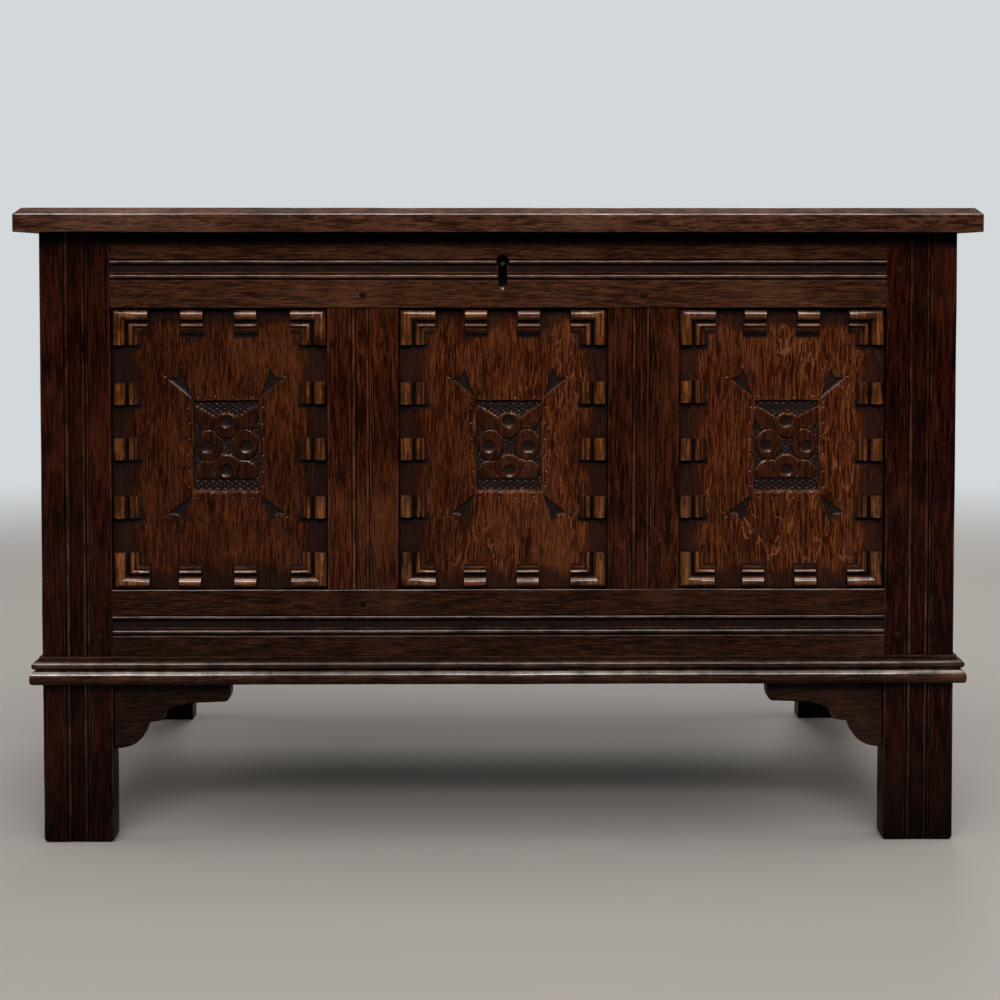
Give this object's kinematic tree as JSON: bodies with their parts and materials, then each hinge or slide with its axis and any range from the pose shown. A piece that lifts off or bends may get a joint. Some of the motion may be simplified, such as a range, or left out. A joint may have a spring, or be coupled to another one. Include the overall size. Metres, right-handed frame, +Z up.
{
  "type": "coffer chest",
  "caption": "Joined oak coffer chest with carved front panels, a hinged plank lid, a plinth moulding, bracketed legs and a lock behind a keyhole.",
  "frame": {"origin": "on the floor under the middle of the chest", "axes": "+X to the right seen from the front, +Y to the back, +Z up; the front faces -Y"},
  "size_m": [1.116, 0.5878, 0.7453],
  "materials": {
    "dark_oak": "near-black waxed oak, worn brown on the arrises",
    "brown_oak": "dark brown waxed oak with open grain",
    "panel_oak": "red-brown waxed quarter-sawn oak with ray fleck",
    "inner_oak": "dry unwaxed oak",
    "iron": "dark forged iron"
  },
  "bodies": {
    "carcass": {"stile_front_left": "dark_oak", "stile_front_right": "dark_oak", "stile_back_left": "dark_oak", "stile_back_right": "dark_oak", "peg_muntin_left_top": "dark_oak", "peg_muntin_left_bottom": "dark_oak", "peg_muntin_right_top": "dark_oak", "peg_muntin_right_bottom": "dark_oak", "peg_stile_left_top": "dark_oak", "peg_stile_left_bottom": "dark_oak", "peg_stile_right_top": "dark_oak", "peg_stile_right_bottom": "dark_oak", "rail_back_top": "dark_oak", "rail_back_bottom": "dark_oak", "muntin_back_1": "dark_oak", "muntin_back_2": "dark_oak", "panel_back_1": "dark_oak", "panel_back_2": "dark_oak", "panel_back_3": "dark_oak", "plinth_front": "dark_oak", "plinth_left": "dark_oak", "plinth_right": "dark_oak", "bracket_left": "dark_oak", "bracket_right": "dark_oak", "rail_front_top": "brown_oak", "rail_front_bottom": "brown_oak", "muntin_front_left": "brown_oak", "muntin_front_right": "brown_oak", "rail_left_top": "brown_oak", "rail_left_bottom": "brown_oak", "muntin_left_1": "brown_oak", "panel_left_1": "brown_oak", "panel_left_2": "brown_oak", "rail_right_top": "brown_oak", "rail_right_bottom": "brown_oak", "muntin_right_1": "brown_oak", "panel_right_1": "brown_oak", "panel_right_2": "brown_oak", "panel_front_left": "panel_oak", "panel_front_middle": "panel_oak", "panel_front_right": "panel_oak", "floor_board_1": "inner_oak", "floor_board_2": "inner_oak", "floor_board_3": "inner_oak", "floor_board_4": "inner_oak", "hinge_left_back_leaf": "iron", "hinge_left_pin": "iron", "hinge_right_back_leaf": "iron", "hinge_right_pin": "iron", "lock_case": "iron"},
    "lid": {"lid_board_front": "brown_oak", "lid_board_middle": "brown_oak", "lid_board_back": "brown_oak", "lid_batten_left": "inner_oak", "lid_batten_right": "inner_oak", "hinge_left_lid_leaf": "iron", "hinge_right_lid_leaf": "iron", "lid_staple": "iron"},
    "lock_bolt": {"lock_bolt": "iron"}
  },
  "joints": [
    {"name": "lid_hinge", "type": "hinge", "parent": "carcass", "child": "lid", "pos_m": [0, 0.28765, 0.714], "axis": [-1, 0, 0], "range_deg": [0, 105]},
    {"name": "bolt_throw", "type": "slide", "parent": "carcass", "child": "lock_bolt", "axis": [-1, 0, 0], "range_m": [0, 0.012]}
  ]
}
